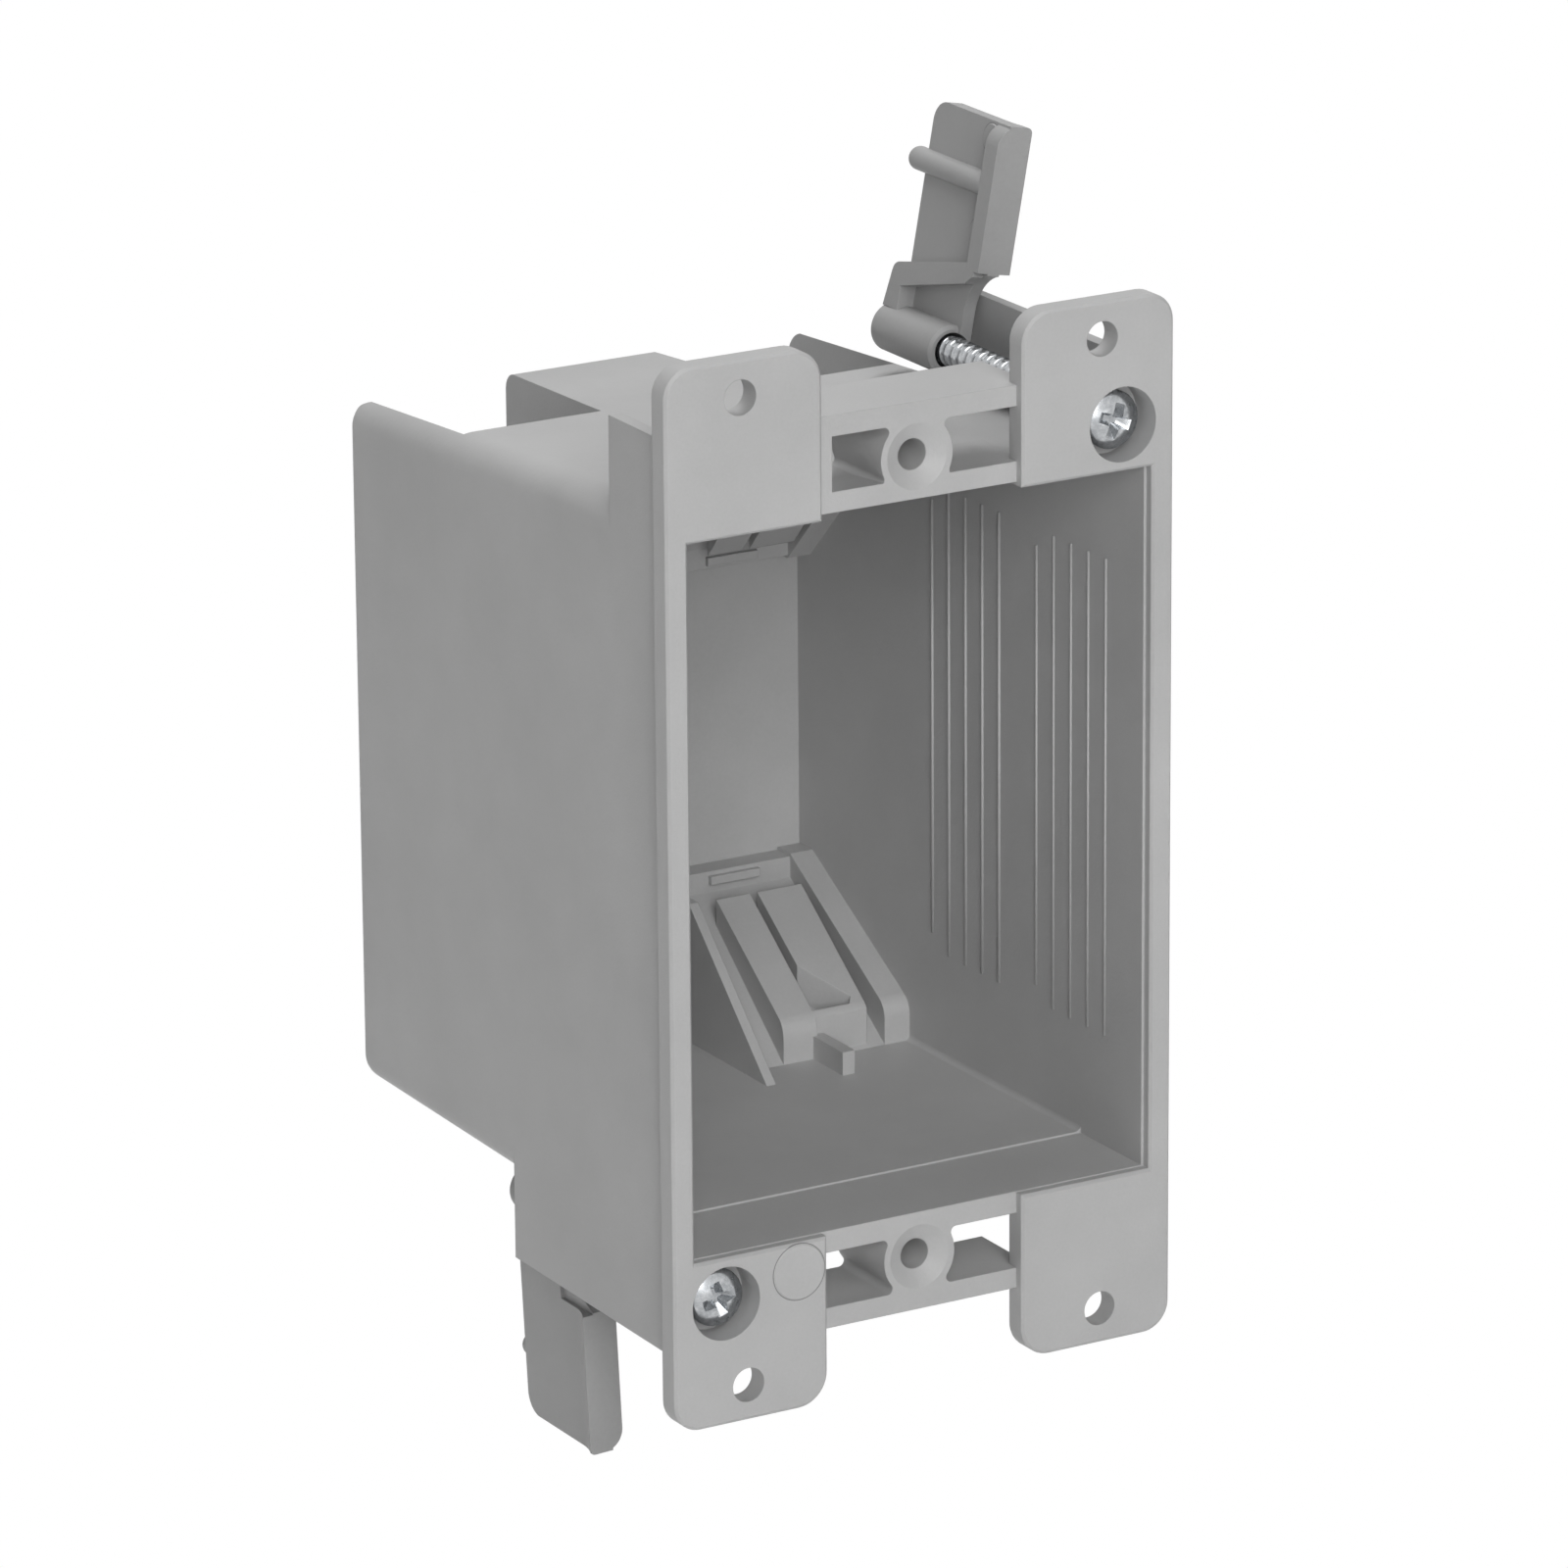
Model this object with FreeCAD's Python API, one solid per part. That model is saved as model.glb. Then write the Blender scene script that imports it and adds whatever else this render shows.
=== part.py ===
import FreeCAD, Part
import math
import os

# A single-gang old-work electrical box for drywall, in millimetres.
# X is to the right seen from the room, Y goes into the wall, Z is up.
# The origin lies midway between the two device screws, on the front of the flange.

# Flange with its four ears
device_screw_spacing = 83.34
ear_hole_across = 41.2
ear_hole_up = 101.8
ear_hole_radius = 1.8
flange_width = 58.0
flange_height = 109.3
flange_thickness = 2.5
ear_gap_width = 22.8
ear_outer_round = 3.0
ear_inner_round = 3.3
front_edge_bevel = 0.3
opening_width = 53.1
opening_height = 74.0

# Drafted box body, measured on its outside at the front plane and at the back
box_depth = 69.6
front_width = 56.2
width_taper = 2.0
front_top = 39.55
rear_top = 35.6
front_bottom = 39.0
rear_bottom = 38.2
side_wall = 1.8
top_wall = 2.1
front_floor = 2.3
rear_floor = 1.8
back_wall = 1.85
long_edge_round = 3.0
rear_edge_round = 2.0
inside_round = 0.6
floor_step = 0.2
floor_step_end = 12.5

# Bridges that carry the device screws between the ears
bridge_setback = 1.2
bridge_depth = 9.6
bridge_height = 47.25
bridge_web = 1.8
shelf_thickness = 2.15
pocket_floor = 39.2
pocket_round = 0.6
narrow_pocket_end = 9.65
boss_radius = 3.9
boss_depth = 10.0
boss_gap = 0.2
dish_radius = 3.4
dish_depth = 1.0
device_bore_radius = 1.6

# Side walls carried on past the top and bottom, beside the clamps
skirt_reach = 47.2
skirt_thickness = 1.55
long_skirt_end = 35.2
short_skirt_end = 13.0

# Cable entries: a sloping flexible tab in the mouth of each one
entry_block_front = 10.0
entry_block_rear = 8.3
fin_thickness = 1.7
fin_corner_round = 3.5
tab_thickness = 1.8
top_tab_start = 46.6
bottom_tab_start = 45.6
top_tab_foot = 12.2
bottom_tab_foot = 21.1
ledge_depth = 2.7
ledge_height = 2.3
cheek_inner = 5.45
cheek_thickness = 1.1
cheek_lead = 4.8
cheek_slope = 44.0
tab_rib_front = 4.2
tab_rib_rear = 2.9
tab_rib_round = 2.4
tab_rib_reach = 15.8
tab_rib_width = 4.1
tab_rib_start = 10.3
tab_rib_drift = 1.1
tab_slot = 0.9
outer_rib_extra = 1.3
hook_setback = 0.5
hook_wall = 1.2
hook_depth = 5.4
hook_slope = 2.0
hook_tip = 4.3
side_rib_width = 2.7
side_rib_top = 0.3
ledge_bar_start = 12.6
ledge_bar_length = 6.0
ledge_bar_height = 0.9
ledge_bar_depth = 0.6
stop_width = 1.5
stop_height = 2.5
stop_start = 13.9
stop_lead = 6.0

# Clamp screws
clamp_inset = 5.05
clamp_rise = 2.25
screw_radius = 1.75
screw_end = 39.0
screw_tip_bevel = 0.6
head_radius = 2.75
head_height = 2.4
head_dome = 1.1
seat_gap = 0.1
head_pocket_radius = 3.85
head_pocket_depth = 3.7
head_floor = 2.0
clamp_boss_radius = 4.9
screw_clearance = 0.15

# Swing clamps
clamp_depth = 15.2
clamp_web_depth = 14.4
clamp_height = 24.0
clamp_web_inner = 0.5
clamp_web_outer = 2.3
clamp_skin = 0.4
clamp_pad_outer = 3.15
clamp_pad_flare = 3.0
clamp_pad_inner = 0.7
clamp_pad_corner = 0.6
clamp_pad_depth = 2.3
clamp_pad_start = 8.8
clamp_notch_depth = 3.3
clamp_notch_round = 4.6
clamp_skin_notch = 6.0
clamp_rear_round = 2.2
clamp_tip_round = 2.2
barrel_radius = 2.6
barrel_start = 3.7
barrel_bevel = 0.35
rim_reach = 1.5
rim_thickness = 2.2
rim_front_up = 9.8
rim_rear_up = 6.9
rim_corner_round = 1.3
rim_slant = 1.0
rim_setback = 0.9
rim_strip = 2.4
rim_strip_start = 2.2
peg_radius = 1.25
peg_across = 0.55
peg_up = 17.5
peg_overhang = 1.5
peg_round = 0.9
upper_clamp_front = 29.0
lower_clamp_front = 24.6
upper_lean = 10.5
lower_lean = -2.75

# How far cutting shapes run past the faces they open, and how close counts as touching
over = 1.0
touch = 0.0001

# Places that follow from the sizes above
clamp_across = front_width / 2 - clamp_inset
clamp_up = front_top + clamp_rise
rear_width = front_width - width_taper
skirt_inner = front_width / 2 - skirt_thickness


def vec(x, y, z):
    return FreeCAD.Vector(x, y, z)


def block(x0, x1, y0, y1, z0, z1):
    return Part.makeBox(x1 - x0, y1 - y0, z1 - z0, vec(x0, y0, z0))


def corner_points(before, here, after, radius):
    # Start, middle and end of the arc that rounds one corner
    back = (before - here).normalize()
    ahead = (after - here).normalize()
    half = back.getAngle(ahead) / 2
    middle = (back + ahead).normalize()
    setback = radius / math.tan(half)
    reach = radius / math.sin(half) - radius
    return here + back * setback, here + middle * reach, here + ahead * setback


def outline_face(corners, place):
    # A corner is two distances, and a third where it is rounded
    spots = [place(c[0], c[1]) for c in corners]
    arcs = []
    for i, corner in enumerate(corners):
        if len(corner) == 3:
            after = spots[(i + 1) % len(spots)]
            arcs.append(corner_points(spots[i - 1], spots[i], after, corner[2]))
        else:
            arcs.append((spots[i], spots[i], spots[i]))
    edges = []
    for i, (start, middle, end) in enumerate(arcs):
        if len(corners[i]) == 3:
            edges.append(Part.Arc(start, middle, end).toShape())
        edges.append(Part.makeLine(end, arcs[(i + 1) % len(arcs)][0]))
    return Part.Face(Part.Wire(edges))


def along_x(corners, x0, x1):
    face = outline_face(corners, lambda y, z: vec(x0, y, z))
    return face.extrude(vec(x1 - x0, 0, 0))


def along_y(corners, y0, y1):
    face = outline_face(corners, lambda x, z: vec(x, y0, z))
    return face.extrude(vec(0, y1 - y0, 0))


def along_z(corners, z0, z1):
    face = outline_face(corners, lambda x, y: vec(x, y, z0))
    return face.extrude(vec(0, 0, z1 - z0))


def rod(radius, x, z, y0, y1):
    return Part.makeCylinder(radius, y1 - y0, vec(x, y0, z), vec(0, 1, 0))


def fuse_all(shapes):
    first = shapes[0]
    return first.fuse(shapes[1:]).removeSplitter()


def mirror_x(shape):
    return shape.mirror(vec(0, 0, 0), vec(1, 0, 0))


def mirror_z(shape):
    return shape.mirror(vec(0, 0, 0), vec(0, 0, 1))


def at_depth(front, rear, y):
    return front + (rear - front) * y / box_depth


def runs_along_y(edge):
    a = edge.Vertexes[0].Point
    b = edge.Vertexes[-1].Point
    return abs(b.y - a.y) > abs(b.x - a.x) + abs(b.z - a.z)


def lies_at_y(edge, y):
    return all(abs(v.Y - y) < touch for v in edge.Vertexes)


def half_width(y):
    return at_depth(front_width, rear_width, y) / 2


def drafted_block(y0, y1, inset_side, inset_top, inset_front_floor, inset_rear_floor):
    half = [half_width(y) - inset_side for y in (y0, y1)]
    top = [at_depth(front_top, rear_top, y) - inset_top for y in (y0, y1)]
    low = [at_depth(inset_front_floor - front_bottom, inset_rear_floor - rear_bottom, y) for y in (y0, y1)]
    return Part.makeWedge(-half[0], y0, low[0], low[1], -half[1], half[0], y1, top[0], top[1], half[1])


def box_outside():
    body = drafted_block(bridge_setback, box_depth, 0, 0, 0, 0)
    long_edges = [e for e in body.Edges if runs_along_y(e)]
    body = body.makeFillet(long_edge_round, long_edges)
    rear_edges = [e for e in body.Edges if lies_at_y(e, box_depth)]
    return body.makeFillet(rear_edge_round, rear_edges)


def box_cavity():
    depth = box_depth - back_wall
    hollow = drafted_block(-over, depth, side_wall, top_wall, front_floor, rear_floor)
    long_edges = [e for e in hollow.Edges if runs_along_y(e)]
    hollow = hollow.makeFillet(inside_round, long_edges)
    step = drafted_block(-over, floor_step_end, side_wall, front_top,
                         front_floor - floor_step, rear_floor - floor_step)
    return hollow.fuse(step)


def ear_pair():
    # One tall plate of the flange, from the gap between the ears to its outer edge
    inner = ear_gap_width / 2
    outer = flange_width / 2
    tip = flange_height / 2
    plate = block(inner, outer, 0, flange_thickness, -tip, tip)
    upright = [e for e in plate.Edges if runs_along_y(e)]
    outer_edges = [e for e in upright if e.Vertexes[0].X > inner + over]
    inner_edges = [e for e in upright if e.Vertexes[0].X < inner + over]
    plate = plate.makeFillet(ear_outer_round, outer_edges)
    upright = [e for e in plate.Edges if runs_along_y(e) and abs(e.Vertexes[0].X - inner) < touch]
    plate = plate.makeFillet(ear_inner_round, upright)
    window = block(0, opening_width / 2, -over, flange_thickness + over,
                   -opening_height / 2, opening_height / 2)
    plate = plate.cut(window)
    front = [e for e in plate.Edges if lies_at_y(e, 0)]
    return plate.makeChamfer(front_edge_bevel, front)


def flange():
    right = ear_pair()
    return [right, mirror_x(right)]


def skirt(side, up, end):
    # A drafted strip, so its outer face stays flush with the box
    start = flange_thickness - front_edge_bevel
    root = opening_height / 2 - long_edge_round
    wall = Part.makeWedge(skirt_inner, start, root, root, skirt_inner,
                          half_width(start), end, skirt_reach, skirt_reach, half_width(end))
    if side < 0:
        wall = mirror_x(wall)
    if up < 0:
        wall = mirror_z(wall)
    return wall


def bridge():
    # Top bridge; the bottom one is its mirror image
    reach = ear_gap_width / 2 + bridge_web
    root = opening_height / 2
    rear = bridge_setback + bridge_depth
    bar = block(-reach, reach, bridge_setback, rear, root, bridge_height)
    boss = rod(boss_radius, 0, device_screw_spacing / 2, bridge_setback, bridge_setback + boss_depth)
    return bar, boss


def bridge_pocket(end):
    # A pocket from the screw boss out to the given distance, open at the back
    middle = device_screw_spacing / 2
    top = bridge_height - shelf_thickness
    rear = bridge_setback + bridge_depth + over
    hole = block(0, end, -over, rear, pocket_floor, top)
    hole = hole.cut(rod(boss_radius + boss_gap, 0, middle, -over * 2, rear + over))
    corners = [e for e in hole.Edges if runs_along_y(e) and e.Vertexes[0].X < boss_radius + over]
    return hole.makeFillet(pocket_round, corners)


def device_bore():
    # A conical dish in front of the screw's bore
    middle = device_screw_spacing / 2
    flare = (dish_radius - device_bore_radius) / dish_depth * over
    front = vec(0, bridge_setback - over, middle)
    dish = Part.makeCone(dish_radius + flare, device_bore_radius, dish_depth + over, front, vec(0, 1, 0))
    bore = rod(device_bore_radius, 0, middle, -over, bridge_setback + boss_depth + over)
    return dish.fuse(bore)


def entry_lines(start, foot, wall_height):
    # Inner line of the tab from the wall down to the ledge, then the ledge on the back wall
    inside_back = box_depth - back_wall
    ledge_front = inside_back - ledge_depth
    return [(start, wall_height), (ledge_front, foot + ledge_height), (ledge_front, foot),
            (inside_back + over, foot), (inside_back + over, wall_height + top_wall),
            (start, wall_height + top_wall)]


def entry_plan():
    # Plan of one cable entry between the middle block and the side fin
    front = top_tab_start - cheek_lead - over
    rear = box_depth + over
    outer = rear_width / 2 - fin_thickness
    return [(entry_block_front, front), (entry_block_rear, rear), (outer, rear), (outer, front)]


def tab_slope(start, foot, wall_height):
    run = box_depth - back_wall - ledge_depth - start
    return (wall_height - foot - ledge_height) / run


def entry_solid(start, foot, wall_height):
    # What stands inside the box: the tab with its ledge, cheek and ribs
    panel = along_x(entry_lines(start, foot, wall_height), cheek_inner, front_width / 2 - side_wall / 2)
    parts = [panel, entry_cheek(start, foot, wall_height), side_rib(start, foot, wall_height)]
    return parts + tab_ribs(start, foot, wall_height) + [ledge_bar(foot)]


def entry_cheek(start, foot, wall_height):
    # Thin blade beside the tab, a little ahead of it
    inside_back = box_depth - back_wall
    lead = start - cheek_lead
    slope = math.tan(math.radians(cheek_slope))
    end = min(lead + (wall_height - foot) / slope, inside_back)
    low = wall_height - (end - lead) * slope
    outline = [(lead, wall_height), (end, low), (inside_back + over, low),
               (inside_back + over, wall_height + over), (lead, wall_height + over)]
    return along_x(outline, cheek_inner, cheek_inner + cheek_thickness)


def rib_line(start, foot, wall_height, end):
    # Height of a rib's crest at its rear end
    return wall_height - tab_slope(start, foot, wall_height) * (end - start) - tab_rib_rear


def side_rib(start, foot, wall_height):
    inside_back = box_depth - back_wall
    top = foot - side_rib_top
    outline = [(start, wall_height + over), (start, wall_height - tab_rib_front, tab_rib_round),
               (inside_back - ledge_depth, top), (inside_back + over, top),
               (inside_back + over, wall_height + over)]
    inner = rear_width / 2 - side_wall - side_rib_width
    return along_x(outline, inner, front_width / 2 - side_wall / 2)


def tab_ribs(start, foot, wall_height):
    # Two broad ribs; the outer one is hollowed beside the inner one and ends in a hook
    end = start + tab_rib_reach
    low = rib_line(start, foot, wall_height, end)
    outline = [(start, wall_height + over), (start, wall_height - tab_rib_front, tab_rib_round),
               (end, low), (end, low + tab_rib_rear + over)]
    profile = along_x(outline, 0, front_width / 2)
    first = tab_rib_start
    second = first + tab_rib_width + tab_slot
    shift = tab_rib_drift
    wide = tab_rib_width
    inner = [(first, start), (first + wide, start), (first + wide + shift, end), (first + shift, end)]
    front = start + hook_setback
    outer = [(first + wide, front), (second + wide + outer_rib_extra, front),
             (second + wide + shift + outer_rib_extra, end),
             (second + shift, end), (second + shift / 2, start + hook_wall + hook_depth),
             (second + hook_tip, start + hook_slope), (second + hook_tip - hook_wall / 2, start + hook_wall),
             (first + wide, start + hook_wall)]
    tall = wall_height + over
    return [profile.common(along_z(plan, low - over, tall)) for plan in (inner, outer)]


def ledge_bar(foot):
    front = box_depth - back_wall - ledge_depth - ledge_bar_depth
    top = foot + ledge_bar_height / 2
    return block(ledge_bar_start, ledge_bar_start + ledge_bar_length, front, front + ledge_depth,
                 top, top + ledge_bar_height)


def entry_recess(start, foot, wall_height):
    # The outside of the tab, one wall thickness away from its inner line
    slope = tab_slope(start, foot, wall_height)
    rise = tab_thickness * math.hypot(1, slope)
    rear = box_depth + over
    low = wall_height + rise - slope * (rear - start)
    high = wall_height + top_wall + rise
    front = start - (high - wall_height - rise) / slope
    outline = [(front, high), (rear, low), (rear, high)]
    cutter = along_x(outline, 0, front_width / 2)
    return cutter.common(along_z(entry_plan(), low - over, high + over))


def cable_stop(start, wall_height):
    # Low fin on the floor that runs forward from the tab
    return block(stop_start, stop_start + stop_width, start - stop_lead, start + over,
                 wall_height - stop_height, wall_height + over / 2)


def entries():
    top_inside = at_depth(front_top, rear_top, top_tab_start) - top_wall
    floor_inside = at_depth(front_bottom - front_floor, rear_bottom - rear_floor, bottom_tab_start)
    solids = []
    recesses = []
    for part in entry_solid(top_tab_start, top_tab_foot, top_inside):
        solids += [part, mirror_x(part)]
    low_parts = entry_solid(bottom_tab_start, bottom_tab_foot, floor_inside)
    low_parts.append(cable_stop(bottom_tab_start, floor_inside))
    for part in low_parts:
        low = mirror_z(part)
        solids += [low, mirror_x(low)]
    upper = entry_recess(top_tab_start, top_tab_foot, top_inside)
    lower = mirror_z(entry_recess(bottom_tab_start, bottom_tab_foot, floor_inside))
    for cut in (upper, lower):
        recesses += [cut, mirror_x(cut)]
    return solids, recesses


def fin_corner(height, side):
    # What is removed so that a fin's rear corner comes out round
    radius = fin_corner_round
    outer = front_width / 2 + over
    inner = rear_width / 2 - fin_thickness - over / 2
    square = block(inner, outer, box_depth - radius, box_depth + over, height - radius, height + over)
    round_part = Part.makeCylinder(radius, outer - inner, vec(inner, box_depth - radius, height - radius),
                                   vec(1, 0, 0))
    corner = square.cut(round_part)
    return corner if side > 0 else mirror_x(corner)


def clamp_boss(side, up):
    x = clamp_across * side
    z = clamp_up * up
    return rod(clamp_boss_radius, x, z, flange_thickness / 2, head_pocket_depth + head_floor)


def clamp_screw_hole(side, up):
    x = clamp_across * side
    z = clamp_up * up
    pocket = rod(head_pocket_radius, x, z, -over, head_pocket_depth)
    rear = head_pocket_depth + head_floor + over
    return pocket.fuse(rod(screw_radius + screw_clearance, x, z, -over, rear))


def ear_holes():
    holes = []
    for x in (-ear_hole_across / 2, ear_hole_across / 2):
        for z in (-ear_hole_up / 2, ear_hole_up / 2):
            holes.append(rod(ear_hole_radius, x, z, -over, flange_thickness + over))
    return holes


def box_body():
    solids, recesses = entries()
    cavity = box_cavity().cut(solids)
    bar, boss = bridge()
    right_pocket = bridge_pocket(ear_gap_width / 2 + bridge_web + over)
    left_pocket = mirror_x(bridge_pocket(narrow_pocket_end))
    upper_bar = bar.cut([right_pocket, left_pocket])
    lower_bar = mirror_z(bar.cut([right_pocket, mirror_x(right_pocket)]))
    shell = fuse_all([box_outside(), upper_bar, lower_bar, boss, mirror_z(boss)])
    shell = shell.cut(cavity)
    trims = [clamp_boss(1, 1), clamp_boss(-1, -1)]
    trims += [skirt(1, 1, long_skirt_end), skirt(-1, -1, long_skirt_end)]
    trims += [skirt(-1, 1, short_skirt_end), skirt(1, -1, short_skirt_end)]
    shell = fuse_all([shell] + trims + flange())
    cuts = recesses + ear_holes() + [device_bore(), mirror_z(device_bore())]
    cuts += [clamp_screw_hole(1, 1), clamp_screw_hole(-1, -1)]
    cuts += [fin_corner(rear_top, 1), fin_corner(rear_top, -1)]
    return shell.cut(cuts)


def clamp_web():
    # The flat arm, and the front pad's outer side flared out from it
    rear = clamp_web_depth
    outline = [(0, 0), (0, clamp_height), (rear, clamp_height, clamp_rear_round), (rear, 0)]
    plate = along_x(outline, clamp_web_inner, clamp_web_outer)
    lip = clamp_pad_outer - clamp_web_outer
    radius = (clamp_pad_flare ** 2 + lip ** 2) / (2 * lip)
    front = [(clamp_web_inner, clamp_pad_start), (clamp_pad_outer, clamp_pad_start),
             (clamp_pad_outer, clamp_height, clamp_pad_corner), (clamp_web_inner, clamp_height)]
    flare = along_y(front, 0, clamp_pad_flare)
    hollow = Part.makeCylinder(radius, clamp_height + over, vec(clamp_web_outer + radius, clamp_pad_flare, 0))
    return [plate, flare.cut(hollow)]


def clamp_pad():
    # Front wing that bears on the drywall
    outline = [(-clamp_pad_inner, clamp_pad_start), (clamp_web_outer, clamp_pad_start),
               (clamp_web_outer, clamp_height), (-clamp_pad_inner, clamp_height, clamp_tip_round)]
    return along_y(outline, 0, clamp_pad_depth)


def clamp_rim():
    # Slanted bar across the arm, flush with the wing in front and turned down to the barrel
    rear = clamp_web_depth
    inner = clamp_depth - rim_strip
    outline = [(rim_setback, rim_front_up), (rear, rim_rear_up, rim_corner_round),
               (rear + rim_slant, rim_strip_start), (inner, rim_strip_start),
               (inner, rim_rear_up - rim_thickness), (rim_setback, rim_front_up - rim_thickness)]
    bar = along_x(outline, -rim_reach, clamp_web_outer - clamp_skin)
    plan = [(-clamp_pad_inner, -over), (-clamp_pad_inner, clamp_pad_depth), (-rim_reach, rear),
            (-rim_reach - over, rear), (-rim_reach - over, -over)]
    return bar.cut(along_z(plan, 0, clamp_height))


def clamp_notch():
    # Room for the box's skirt under the pad; square in the outer skin, curved behind it
    depth = clamp_notch_depth
    outline = [(-over, -barrel_radius), (depth, -barrel_radius), (depth, clamp_pad_start, clamp_notch_round),
               (-clamp_notch_round, clamp_pad_start)]
    skin = clamp_web_outer - clamp_skin
    curved = along_x(outline, -rim_reach - over, skin)
    square = block(skin, clamp_pad_outer + over, -over, clamp_skin_notch, -barrel_radius, clamp_pad_start)
    return [curved, square]


def clamp_peg():
    length = clamp_depth + peg_overhang
    peg = rod(peg_radius, peg_across, peg_up, clamp_pad_depth / 2, length)
    end = [e for e in peg.Edges if lies_at_y(e, length)]
    return peg.makeFillet(peg_round, end)


def clamp_barrel():
    barrel = rod(barrel_radius, 0, 0, barrel_start, clamp_depth)
    front = [e for e in barrel.Edges if lies_at_y(e, barrel_start)]
    return barrel.makeChamfer(barrel_bevel, front)


def clamp():
    arm = fuse_all(clamp_web() + [clamp_pad(), clamp_rim()]).cut(clamp_notch())
    solid = fuse_all([arm, clamp_barrel(), clamp_peg()])
    return solid.cut(rod(screw_radius + screw_clearance, 0, 0, 0, clamp_depth + over))


def place(shape, side, lean, front):
    turn = lean if side > 0 else 180 + lean
    placed = shape.copy()
    placed.rotate(vec(0, 0, 0), vec(0, 1, 0), turn)
    placed.translate(vec(clamp_across * side, front, clamp_up * side))
    return placed


def screw():
    # Pan head seated in its pocket, shank through the ear and into the clamp
    under = head_pocket_depth - seat_gap
    crown = under - head_height
    rim = crown + head_dome
    dome = (head_radius ** 2 + head_dome ** 2) / (2 * head_dome)
    half = math.asin(head_radius / dome) / 2
    part_way = vec(dome * math.sin(half), crown + dome * (1 - math.cos(half)), 0)
    profile = [Part.makeLine(vec(0, crown, 0), vec(0, under, 0)),
               Part.makeLine(vec(0, under, 0), vec(head_radius, under, 0)),
               Part.makeLine(vec(head_radius, under, 0), vec(head_radius, rim, 0)),
               Part.Arc(vec(head_radius, rim, 0), part_way, vec(0, crown, 0)).toShape()]
    face = Part.Face(Part.Wire(profile))
    head = face.revolve(vec(0, 0, 0), vec(0, 1, 0), 360)
    shank = rod(screw_radius, 0, 0, under - seat_gap, screw_end)
    tip = [e for e in shank.Edges if lies_at_y(e, screw_end)]
    shank = shank.makeChamfer(screw_tip_bevel, tip)
    return head.fuse(shank).removeSplitter()


def write(shape, name):
    if shape.ShapeType != "Solid" and len(shape.Solids) == 1:
        shape = shape.Solids[0]
    print(name, shape.ShapeType, len(shape.Solids), shape.isValid(), round(shape.Volume, 1))
    shape.exportStep("parts/" + name + ".step")


def main():
    os.makedirs("parts", exist_ok=True)
    write(box_body(), "box_body")
    one_clamp = clamp()
    write(place(one_clamp, 1, upper_lean, upper_clamp_front), "upper_clamp")
    write(place(one_clamp, -1, lower_lean, lower_clamp_front), "lower_clamp")
    one_screw = screw()
    write(place(one_screw, 1, 0, 0), "upper_clamp_screw")
    write(place(one_screw, -1, 0, 0), "lower_clamp_screw")


main()
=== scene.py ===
# %% [markdown]
# A single-gang back box for drywall, dressed for a studio picture.
#
# The box is one grey plastic moulding with four ears. Two swing clamps hang on long zinc
# screws at opposite corners: turning a screw swings its clamp out behind the wall board and
# then draws it forward until the ears and the clamp pinch the board between them.
#
# The exact solids are loaded first. They already have the right shape and the right place,
# so this file gives them their finish, swaps the plain screws for threaded ones, adds the
# small marks that a mould leaves, and sets up the light and the camera.

# %% Load the solids
import math

import bmesh
import bpy
from mathutils import Matrix, Vector


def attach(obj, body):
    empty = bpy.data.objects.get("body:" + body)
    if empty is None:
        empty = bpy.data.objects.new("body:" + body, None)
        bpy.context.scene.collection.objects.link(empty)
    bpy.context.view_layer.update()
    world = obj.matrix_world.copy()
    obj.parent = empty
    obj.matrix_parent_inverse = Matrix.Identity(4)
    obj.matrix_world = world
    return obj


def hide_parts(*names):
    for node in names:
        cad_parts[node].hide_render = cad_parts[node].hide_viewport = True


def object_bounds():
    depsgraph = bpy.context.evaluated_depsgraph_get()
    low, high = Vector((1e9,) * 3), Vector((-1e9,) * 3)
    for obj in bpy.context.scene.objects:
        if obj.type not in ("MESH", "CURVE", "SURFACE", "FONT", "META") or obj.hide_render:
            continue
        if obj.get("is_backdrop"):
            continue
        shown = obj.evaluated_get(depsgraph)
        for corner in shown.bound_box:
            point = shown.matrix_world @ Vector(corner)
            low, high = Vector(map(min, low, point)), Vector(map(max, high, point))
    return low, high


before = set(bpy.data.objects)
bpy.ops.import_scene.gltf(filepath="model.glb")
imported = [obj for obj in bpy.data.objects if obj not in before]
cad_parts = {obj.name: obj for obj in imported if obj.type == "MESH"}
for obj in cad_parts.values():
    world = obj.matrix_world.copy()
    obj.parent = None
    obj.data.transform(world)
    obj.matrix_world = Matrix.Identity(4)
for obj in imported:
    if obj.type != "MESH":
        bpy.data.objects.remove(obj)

solid_box = [list(corner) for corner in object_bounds()]
print("solid box in mm:", [[round(v * 1000, 1) for v in corner] for corner in solid_box])

# %% [markdown]
# Sizes are easier to read in millimetres, and Blender counts in metres, so every size in
# this file is written in millimetres times mm. The few sizes here are the ones that the
# added pieces share with the solids: where the clamp screws stand, how their heads sit in
# the ears, and how the side walls of the box lean inwards towards the back.

# %% Shared sizes
mm = 0.001
screw_across = 23.05 * mm
screw_up = 41.8 * mm
head_crown = 1.2 * mm
head_under = 3.6 * mm
head_radius = 3.0 * mm
shank_end = 39.0 * mm
shank_length = shank_end - head_under
thread_radius = 1.62 * mm
thread_pitch = 25.4 / 18 * mm
thread_groove = 0.3 * mm
box_depth = 69.6 * mm


def inner_wall_x(y):
    """Inside face of the right wall at depth y."""
    front, rear = 26.3 * mm, 25.3 * mm
    return front + (rear - front) * y / box_depth


print("right wall leans from", inner_wall_x(0) / mm,
      "to", round(inner_wall_x(box_depth) / mm, 2), "mm")

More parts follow.
